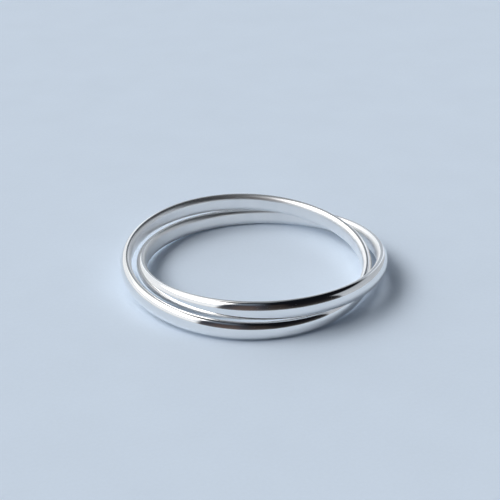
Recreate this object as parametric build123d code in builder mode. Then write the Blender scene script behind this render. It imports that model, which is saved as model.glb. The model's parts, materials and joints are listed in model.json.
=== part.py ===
from build123d import *
import math
import os

# Two equal polished bands, linked through each other, lying on a flat surface.
# Millimetres. Z is up and the surface is Z = 0. The bands stand side by side along X.

# Finger size and wire section
finger_diameter = 17.3
band_width = 1.40
inner_depth = 0.36
crown_depth = 0.45
finger_flat = 0.50

# How the two bands lie against each other
nesting_gap = 0.37
crossing_clearance = 0.08

# Sizes that follow
band_thickness = inner_depth + crown_depth
half_width = band_width / 2
edge_height = (band_width - finger_flat) / 2
finger_radius = finger_diameter / 2
crest_radius = finger_radius + inner_depth
side_offset = (band_thickness + nesting_gap) / 2
tilt = math.degrees(math.asin((band_width + crossing_clearance) / (2 * crest_radius)))

# Height of a tilted band's middle when its lowest point touches the surface
tilt_sine = math.sin(math.radians(tilt))
tilt_cosine = math.cos(math.radians(tilt))
crown_reach = math.hypot(crown_depth * tilt_sine, half_width * tilt_cosine)
middle_height = crest_radius * tilt_sine + crown_reach


def band_plane(side):
    """Plane through a band's middle: side -1 is the left band, side 1 the right band."""
    level = Plane((side * side_offset, 0, middle_height))
    return level.rotated((-side * tilt, 0, 0))


def section_plane(plane):
    """Plane that cuts the band: its X runs outwards and its Y runs along the finger."""
    return Plane(plane.origin, x_dir=plane.x_dir, z_dir=-plane.y_dir)


def wire_outline():
    """Wire section: an oval crown outside, soft edges and a short flat against the finger."""
    EllipticalCenterArc((crest_radius, 0), crown_depth, half_width, start_angle=-90, arc_size=180)
    flat_top = finger_flat / 2
    for edge, start in ((1, 90), (-1, 180)):
        EllipticalCenterArc(
            (crest_radius, edge * flat_top), inner_depth, edge_height, start_angle=start, arc_size=90
        )
    Line((finger_radius, flat_top), (finger_radius, -flat_top))


left_plane = band_plane(-1)
right_plane = band_plane(1)

# Left band: its back is high and its front rests on the surface
with BuildPart() as left_band:
    with BuildSketch(section_plane(left_plane)):
        with BuildLine():
            wire_outline()
        make_face()
    revolve(axis=Axis(left_plane.origin, left_plane.z_dir))

# Right band: it passes through the left one, its front lies on it and its back rests on the surface
with BuildPart() as right_band:
    with BuildSketch(section_plane(right_plane)):
        with BuildLine():
            wire_outline()
        make_face()
    revolve(axis=Axis(right_plane.origin, right_plane.z_dir))

left_band.part.label = "left_band"
right_band.part.label = "right_band"

os.makedirs("parts", exist_ok=True)
export_step(left_band.part, "parts/left_band.step")
export_step(right_band.part, "parts/right_band.step")
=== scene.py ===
import json
import math
import bpy
from mathutils import Matrix, Vector


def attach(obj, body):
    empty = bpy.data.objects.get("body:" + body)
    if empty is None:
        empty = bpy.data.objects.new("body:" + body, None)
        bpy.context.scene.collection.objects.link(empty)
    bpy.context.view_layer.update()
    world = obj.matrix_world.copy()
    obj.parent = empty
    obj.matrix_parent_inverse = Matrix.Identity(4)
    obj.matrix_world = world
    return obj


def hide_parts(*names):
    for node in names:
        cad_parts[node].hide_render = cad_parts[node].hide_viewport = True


# Two linked bands of mirror-polished silver on a pale tabletop.
# Metres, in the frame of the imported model: Z is up and the tabletop is Z = 0.

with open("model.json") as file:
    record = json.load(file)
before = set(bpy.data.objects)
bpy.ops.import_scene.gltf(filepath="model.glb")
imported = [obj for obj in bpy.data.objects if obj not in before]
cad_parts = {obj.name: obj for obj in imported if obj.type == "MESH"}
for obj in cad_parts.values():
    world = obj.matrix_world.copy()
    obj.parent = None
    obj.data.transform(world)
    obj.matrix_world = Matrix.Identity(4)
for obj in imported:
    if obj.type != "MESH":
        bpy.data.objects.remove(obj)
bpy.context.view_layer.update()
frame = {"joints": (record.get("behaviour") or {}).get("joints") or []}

MM = 0.001
QUARTER_TURN = math.pi / 2

# Wire section of a band
FINGER_DIAMETER = 17.3 * MM
BAND_WIDTH = 1.40 * MM
INNER_DEPTH = 0.36 * MM
CROWN_DEPTH = 0.45 * MM
FINGER_FLAT = 0.50 * MM

# How fine a band's mesh is, and how near two points of its seams are when they become one
STEPS_ROUND = 720
STEPS_OVER = 96
SEAM_GAP = 0.0005 * MM

# Attribute that says how far round the band and how far over the wire a point is
CHART = "band"

# Silver: noise sizes round the band and over the wire, and the noise where hairlines and wear set in
LINES_ROUND, LINES_OVER = 1.6, 22.0
HAIRLINES_ROUND, HAIRLINES_OVER = 5.0, 48.0
HAIRLINE_LIMITS = (0.66, 0.74)
WEAR_ROUND, WEAR_OVER = 5.0, 1.2
WEAR_LIMITS = (0.35, 0.65)

# Silver: colour where it is fresh and where it is worn
FRESH_SILVER = (0.965, 0.960, 0.950)
WORN_SILVER = (0.925, 0.925, 0.925)

# Silver: how strong and how high the lines are, and how deep a hairline is beside them
LINE_STRENGTH = 0.02
LINE_HEIGHT = 0.0006 * MM
HAIRLINE_DEPTH = 0.6

# Silver: roughness of the crown, and how much the lines, wear, hairlines and finger side add to it
ROUGHNESS = 0.06
LINES_DULLER = 0.03
WEAR_DULLER = 0.02
HAIRLINES_DULLER = 0.06
FINGER_SIDE_DULLER = 0.28
FINGER_SIDE_LIMITS = (0.0, 0.5)

# Paper under the bands
TABLE_REACH = 6.0
PAPER_COLOUR = (0.725, 0.825, 0.945)
PAPER_ROUGHNESS = 0.9
PAPER_SHINE = 0.1
PAPER_SHADES = 0.05
PAPER_CLOUD = 5 * MM
PAPER_FIBRE = 0.25 * MM
PAPER_BUMP = 0.3
PAPER_LIFT = 0.01 * MM

# The photograph's camera, in degrees and metres, and the pixels to a millimetre where it aims
CAMERA_TURN = -19.0
CAMERA_HEIGHT = 27.5
CAMERA_DISTANCE = 113.4 * MM
AIM_RIGHT = -0.3125 * MM
AIM_AWAY = 4.461 * MM
PIXELS_PER_MM = 12.752
PICTURE_WIDTH = 500
SENSOR_WIDTH = 36.0
CLIP_NEAR = 1 * MM
CLIP_FAR = 20.0

# The room's own light: height in degrees and how bright it is there, the same all round
ROOM = (
    (0.0, (0.110, 0.110, 0.114)),
    (7.5, (0.050, 0.049, 0.050)),
    (15.0, (0.018, 0.017, 0.018)),
    (30.0, (0.007, 0.007, 0.009)),
    (60.0, (0.004, 0.005, 0.007)),
    (90.0, (0.008, 0.010, 0.014)),
)

# What stands in the room: bearing (0 is right, 90 away, 180 left, 270 towards the camera), half width
# and fade at the sides, lowest height and its fade, highest height and its fade, all in degrees, and colour
LIGHTS = {
    "window": (164, 60, 5, 37, 4, 68, 9, (1.05, 1.05, 1.05)),
    "left_pane": (186, 36, 9, 34, 5, 62, 6, (4.25, 4.25, 4.25)),
    "left_wall": (165, 65, 3, 0, 8, 37, 4, (0.84, 0.87, 0.90)),
    "far_wall": (83, 22, 6, 0, 8, 34, 6, (0.42, 0.46, 0.51)),
    "far_pane": (92, 14, 6, 38, 6, 80, 8, (0.20, 0.22, 0.24)),
    "right_wall": (26, 44, 2, -2, 8, 37, 5, (0.42, 0.45, 0.49)),
    "near_wall": (247, 26, 9, -5, 5, 72, 12, (0.032, 0.035, 0.044)),
    "blue_ceiling": (234, 26, 16, 52, 10, 80, 8, (0.105, 0.130, 0.165)),
    "brown_door": (254, 11, 6, -5, 5, 46, 9, (0.040, 0.019, 0.007)),
    "dim_door": (283, 9, 6, -5, 5, 50, 9, (0.022, 0.017, 0.014)),
}


# Node trees


class Nodes:
    """A node tree, built a node at a time."""

    def __init__(self, tree):
        self.tree = tree

    def node(self, kind, settings=None, **inputs):
        """Adds one node: its settings first, then its sockets by name."""
        node = self.tree.nodes.new(kind)
        for key, value in (settings or {}).items():
            setattr(node, key, value)
        for key, value in inputs.items():
            self.feed(node.inputs[key.replace("_", " ")], value)
        return node

    def feed(self, socket, value):
        """Links a field or a socket into a socket, or writes a plain value there."""
        if isinstance(value, Field):
            value = value.socket
        if isinstance(value, bpy.types.NodeSocket):
            self.tree.links.new(value, socket)
        else:
            socket.default_value = value

    def parts(self, vector):
        """The three numbers of a vector."""
        made = self.node("ShaderNodeSeparateXYZ", Vector=vector)
        return [Field(self, made.outputs[axis]) for axis in "XYZ"]

    def vector(self, x, y, z):
        """A vector from three numbers."""
        made = self.node("ShaderNodeCombineXYZ", X=x, Y=y, Z=z)
        return made.outputs[0]

    def scaled(self, vector, strength):
        """A vector or colour times a number."""
        made = self.node("ShaderNodeVectorMath", {"operation": "SCALE"}, Scale=strength)
        self.feed(made.inputs[0], vector)
        return made.outputs[0]

    def summed(self, first, second):
        """Two vectors or colours added."""
        made = self.node("ShaderNodeVectorMath", {"operation": "ADD"})
        self.feed(made.inputs[0], first)
        self.feed(made.inputs[1], second)
        return made.outputs[0]

    def noise(self, settings=None, **inputs):
        """Noise between 0 and 1."""
        made = self.node("ShaderNodeTexNoise", settings, **inputs)
        return Field(self, made.outputs[0])


class Shape(Nodes):
    """A geometry tree with named inputs."""

    def __init__(self, name):
        super().__init__(bpy.data.node_groups.new(name, "GeometryNodeTree"))
        self.tree.is_modifier = True
        self.tree.interface.new_socket("Geometry", in_out="OUTPUT", socket_type="NodeSocketGeometry")
        self.inputs = self.tree.nodes.new("NodeGroupInput")
        self.output = self.tree.nodes.new("NodeGroupOutput")

    def size(self, name, kind="NodeSocketFloat"):
        """Adds a named input and returns it."""
        self.tree.interface.new_socket(name, in_out="INPUT", socket_type=kind)
        return Field(self, self.inputs.outputs[name])

    def finish(self, geometry):
        """Ends the tree in this geometry."""
        self.tree.links.new(geometry, self.output.inputs[0])
        return self.tree


class Paint(Nodes):
    """A material's tree."""

    def __init__(self, name):
        self.material = bpy.data.materials.new(name)
        self.material.use_nodes = True
        super().__init__(self.material.node_tree)
        self.tree.nodes.clear()

    def finish(self, shader):
        """Gives the shader to the surface."""
        out = self.node("ShaderNodeOutputMaterial")
        self.tree.links.new(shader.outputs[0], out.inputs["Surface"])
        return self.material


class Field:
    """A number that varies over a mesh, a surface or the room, with Python's own operators."""

    def __init__(self, owner, socket):
        self.owner = owner
        self.socket = socket

    def maths(self, operation, *values):
        """One Math node on these values."""
        made = self.owner.node("ShaderNodeMath", {"operation": operation})
        for socket, value in zip(made.inputs, values):
            self.owner.feed(socket, value)
        return Field(self.owner, made.outputs[0])

    def __add__(self, other):
        return self.maths("ADD", self, other)

    def __radd__(self, other):
        return self.maths("ADD", other, self)

    def __sub__(self, other):
        return self.maths("SUBTRACT", self, other)

    def __rsub__(self, other):
        return self.maths("SUBTRACT", other, self)

    def __mul__(self, other):
        return self.maths("MULTIPLY", self, other)

    def __rmul__(self, other):
        return self.maths("MULTIPLY", other, self)

    def __gt__(self, other):
        return self.maths("GREATER_THAN", self, other)

    def cos(self):
        return self.maths("COSINE", self)

    def sin(self):
        return self.maths("SINE", self)

    def abs(self):
        return self.maths("ABSOLUTE", self)

    def arcsin(self):
        return self.maths("ARCSINE", self)

    def rises(self, start, end):
        """0 below the start, 1 above the end, and a soft change between."""
        settings = {"interpolation_type": "SMOOTHSTEP"}
        made = self.owner.node("ShaderNodeMapRange", settings, Value=self, From_Min=start, From_Max=end)
        return Field(self.owner, made.outputs[0])


def band_tree(material):
    """A band from its wire section: an oval crown outside, oval edges and a short flat inside."""
    tree = Shape("band")
    finger_radius = tree.size("Finger Radius")
    width = tree.size("Band Width")
    inner_depth = tree.size("Inner Depth")
    crown_depth = tree.size("Crown Depth")
    flat = tree.size("Finger Flat")
    round_steps = tree.size("Steps Round", "NodeSocketInt")
    over_steps = tree.size("Steps Over", "NodeSocketInt")
    middle = tree.size("Middle", "NodeSocketVector")
    turn = tree.size("Turn", "NodeSocketVector")

    # A square sheet, which is bent round into the band
    sheet = tree.node("GeometryNodeMeshGrid", Size_X=1.0, Size_Y=1.0)
    tree.feed(sheet.inputs["Vertices X"], round_steps)
    tree.feed(sheet.inputs["Vertices Y"], over_steps)
    place = tree.node("GeometryNodeInputPosition")
    sheet_x, sheet_y, _ = tree.parts(place.outputs[0])
    along = (sheet_x + 0.5) * math.tau
    over = (sheet_y + 0.5) * math.tau

    # Angle over the wire: 0 is the middle of the crown and half a turn is the middle of the finger side
    outward = over.cos()
    upward = over.sin()
    is_crown = outward > 0.0
    is_upper = upward > 0.0
    is_finger_side = 1 - is_crown
    flat_reach = flat * 0.5
    edge_height = width * 0.5 - flat_reach
    flat_side = is_upper * 2 - 1
    depth = crown_depth * is_crown + inner_depth * is_finger_side
    crown_height = width * 0.5 * upward
    finger_height = edge_height * upward + flat_reach * flat_side
    height = crown_height * is_crown + finger_height * is_finger_side
    reach = finger_radius + inner_depth + depth * outward

    spot = tree.vector(reach * along.cos(), reach * along.sin(), height)
    bent = tree.node("GeometryNodeSetPosition", Geometry=sheet.outputs["Mesh"], Position=spot)

    # How far round and how far over each point is, for the finish
    per_corner = {"data_type": "FLOAT2", "domain": "CORNER"}
    chart = tree.node("GeometryNodeStoreNamedAttribute", per_corner, Name=CHART)
    tree.feed(chart.inputs["Geometry"], bent.outputs[0])
    tree.feed(chart.inputs["Value"], sheet.outputs["UV Map"])

    closed = tree.node("GeometryNodeMergeByDistance", Geometry=chart.outputs[0], Distance=SEAM_GAP)
    seated = tree.node("GeometryNodeTransform", Geometry=closed.outputs[0])
    tree.feed(seated.inputs["Translation"], middle)
    tree.feed(seated.inputs["Rotation"], turn)
    smooth = tree.node("GeometryNodeSetShadeSmooth", Geometry=seated.outputs[0])
    real = tree.node("GeometryNodeRealizeInstances", Geometry=smooth.outputs[0])
    dressed = tree.node("GeometryNodeSetMaterial", Geometry=real.outputs[0], Material=material)
    return tree.finish(dressed.outputs[0])


def plain_mesh(name, tree, sizes, material):
    """Runs a tree with these sizes and returns its result as a plain mesh object at the origin."""
    source = bpy.data.objects.new(name + "_source", bpy.data.meshes.new(name + "_source"))
    bpy.context.scene.collection.objects.link(source)
    modifier = source.modifiers.new("shape", "NODES")
    modifier.node_group = tree
    for item in tree.interface.items_tree:
        if item.in_out == "INPUT" and item.name in sizes:
            modifier[item.identifier] = sizes[item.name]
    graph = bpy.context.evaluated_depsgraph_get()
    mesh = bpy.data.meshes.new_from_object(source.evaluated_get(graph))
    mesh.name = name
    bpy.data.objects.remove(source)
    mesh.materials.clear()
    mesh.materials.append(material)
    piece = bpy.data.objects.new(name, mesh)
    bpy.context.scene.collection.objects.link(piece)
    return piece


# Materials


def polished_silver():
    """Mirror-polished sterling silver with the fine lines that a polishing wheel leaves round it."""
    paint = Paint("polished_silver")
    chart = paint.node("ShaderNodeAttribute", {"attribute_name": CHART})
    along, over, _ = paint.parts(chart.outputs["Vector"])
    turned = along * math.tau
    bent = over * math.tau

    def grain(round_size, over_size, detail):
        """Noise without a seam: a size each for round the band and over the wire."""
        place = paint.vector(turned.cos() * round_size, turned.sin() * round_size, bent.cos() * over_size)
        fourth = bent.sin() * over_size
        return paint.noise({"noise_dimensions": "4D"}, Vector=place, W=fourth, Scale=1.0, Detail=detail)

    wheel_lines = grain(LINES_ROUND, LINES_OVER, detail=2)
    hairlines = grain(HAIRLINES_ROUND, HAIRLINES_OVER, detail=1).rises(*HAIRLINE_LIMITS)
    wear = grain(WEAR_ROUND, WEAR_OVER, detail=3).rises(*WEAR_LIMITS)
    finger_side = (bent.cos() * -1).rises(*FINGER_SIDE_LIMITS)

    colour = paint.summed(paint.scaled(FRESH_SILVER, 1 - wear), paint.scaled(WORN_SILVER, wear))
    duller = wheel_lines * LINES_DULLER + wear * WEAR_DULLER + hairlines * HAIRLINES_DULLER
    roughness = ROUGHNESS + finger_side * FINGER_SIDE_DULLER + duller
    relief = wheel_lines - hairlines * HAIRLINE_DEPTH
    lift = paint.node("ShaderNodeBump", Height=relief, Strength=LINE_STRENGTH, Distance=LINE_HEIGHT)
    shader = paint.node("ShaderNodeBsdfPrincipled", Metallic=1.0, Roughness=roughness, Base_Color=colour)
    paint.feed(shader.inputs["Normal"], lift.outputs[0])
    return paint.finish(shader)


def tabletop():
    """Smooth pale blue-grey paper with a faint grain."""
    paint = Paint("tabletop")
    place = paint.node("ShaderNodeTexCoord").outputs["Object"]
    clouds = paint.noise(Vector=place, Scale=1 / PAPER_CLOUD, Detail=2)
    fibres = paint.noise(Vector=place, Scale=1 / PAPER_FIBRE, Detail=3)
    shade = 1 + (clouds - 0.5) * PAPER_SHADES + (fibres - 0.5) * PAPER_SHADES
    lift = paint.node("ShaderNodeBump", Height=fibres, Strength=PAPER_BUMP, Distance=PAPER_LIFT)
    shader = paint.node("ShaderNodeBsdfPrincipled", Metallic=0.0, Roughness=PAPER_ROUGHNESS)
    paint.feed(shader.inputs["Base Color"], paint.scaled(PAPER_COLOUR, shade))
    paint.feed(shader.inputs["Specular IOR Level"], PAPER_SHINE)
    paint.feed(shader.inputs["Normal"], lift.outputs[0])
    return paint.finish(shader)


# Bands

silver = polished_silver()
band_shape = band_tree(silver)


def joint_frame():
    """Middle and axle of the right band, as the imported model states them."""
    joint = frame["joints"][0]
    return Vector(joint["pos_m"]), Vector(joint["axis"]).normalized()


right_middle, right_axle = joint_frame()


def band(name, side):
    """One band in its place: side -1 is the left band, side 1 the right band."""
    middle = Vector((side * right_middle.x, 0, right_middle.z))
    tilt = -side * math.atan2(right_axle.y, right_axle.z)
    sizes = {
        "Finger Radius": FINGER_DIAMETER / 2,
        "Band Width": BAND_WIDTH,
        "Inner Depth": INNER_DEPTH,
        "Crown Depth": CROWN_DEPTH,
        "Finger Flat": FINGER_FLAT,
        "Steps Round": STEPS_ROUND + 1,
        "Steps Over": STEPS_OVER + 1,
        "Middle": middle,
        "Turn": Vector((tilt, 0, 0)),
    }
    piece = plain_mesh(name + "_polished", band_shape, sizes, silver)
    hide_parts(name)
    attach(piece, name)


band("left_band", -1)
band("right_band", 1)

# Tabletop


def make_table():
    """A wide level sheet under the bands."""
    mesh = bpy.data.meshes.new("tabletop")
    corners = [(x * TABLE_REACH, y * TABLE_REACH, 0) for x, y in ((-1, -1), (1, -1), (1, 1), (-1, 1))]
    mesh.from_pydata(corners, [], [(0, 1, 2, 3)])
    mesh.materials.append(tabletop())
    table = bpy.data.objects.new("tabletop", mesh)
    bpy.context.scene.collection.objects.link(table)


make_table()

# Camera and light, placed in the photograph's own directions: right, away and up


def place_camera():
    """Camera at the photograph's angle, distance and focal length."""
    height = math.radians(CAMERA_HEIGHT)
    aim = Vector((AIM_RIGHT, AIM_AWAY, 0))
    back = Vector((0, -math.cos(height), math.sin(height))) * CAMERA_DISTANCE
    data = bpy.data.cameras.new("camera")
    data.sensor_width = SENSOR_WIDTH
    data.lens = PIXELS_PER_MM * CAMERA_DISTANCE / MM / PICTURE_WIDTH * SENSOR_WIDTH
    data.clip_start = CLIP_NEAR
    data.clip_end = CLIP_FAR
    camera = bpy.data.objects.new("camera", data)
    bpy.context.scene.collection.objects.link(camera)
    turn = Matrix.Rotation(math.radians(CAMERA_TURN), 4, "Z")
    look = (-back).to_track_quat("-Z", "Y").to_matrix().to_4x4()
    camera.matrix_world = turn @ Matrix.Translation(aim + back) @ look
    bpy.context.scene.camera = camera


def past(angle, edge, fade):
    """0 before an edge, 1 past it, and a soft change between. The edge and its fade are in degrees."""
    return angle.rises(math.radians(edge - fade), math.radians(edge + fade))


def glow(room, direction, height, light):
    """One window, wall, ceiling or door, with soft edges."""
    bearing, half_width, side_fade, low, low_fade, high, high_fade, colour = light
    middle = math.radians(bearing + CAMERA_TURN)
    across, away, _ = direction
    ahead = across * math.cos(middle) + away * math.sin(middle)
    aside = away * math.cos(middle) - across * math.sin(middle)
    angle = aside.maths("ARCTAN2", aside, ahead).abs()
    inside = 1 - past(angle, half_width, side_fade)
    above = past(height, low, low_fade)
    below = 1 - past(height, high, high_fade)
    return room.scaled(colour, inside * above * below)


def room_light():
    """A dark room with windows and pale walls, all far away."""
    world = bpy.data.worlds.new("room")
    bpy.context.scene.world = world
    world.use_nodes = True
    room = Nodes(world.node_tree)
    room.tree.nodes.clear()
    sky = room.node("ShaderNodeTexCoord")
    direction = room.parts(sky.outputs["Generated"])
    height = direction[2].arcsin()
    ramp = room.node("ShaderNodeValToRGB", Fac=height * (1 / QUARTER_TURN))
    stops = ramp.color_ramp.elements
    while len(stops) < len(ROOM):
        stops.new(1.0)
    for stop, (degrees, colour) in zip(stops, ROOM):
        stop.position = math.radians(degrees) / QUARTER_TURN
        stop.color = (*colour, 1)
    total = ramp.outputs[0]
    for light in LIGHTS.values():
        total = room.summed(total, glow(room, direction, height, light))
    back = room.node("ShaderNodeBackground", Color=total)
    out = room.node("ShaderNodeOutputWorld")
    room.tree.links.new(back.outputs[0], out.inputs[0])


place_camera()
room_light()

view = bpy.context.scene.view_settings
view.view_transform = "Standard"
view.look = "None"
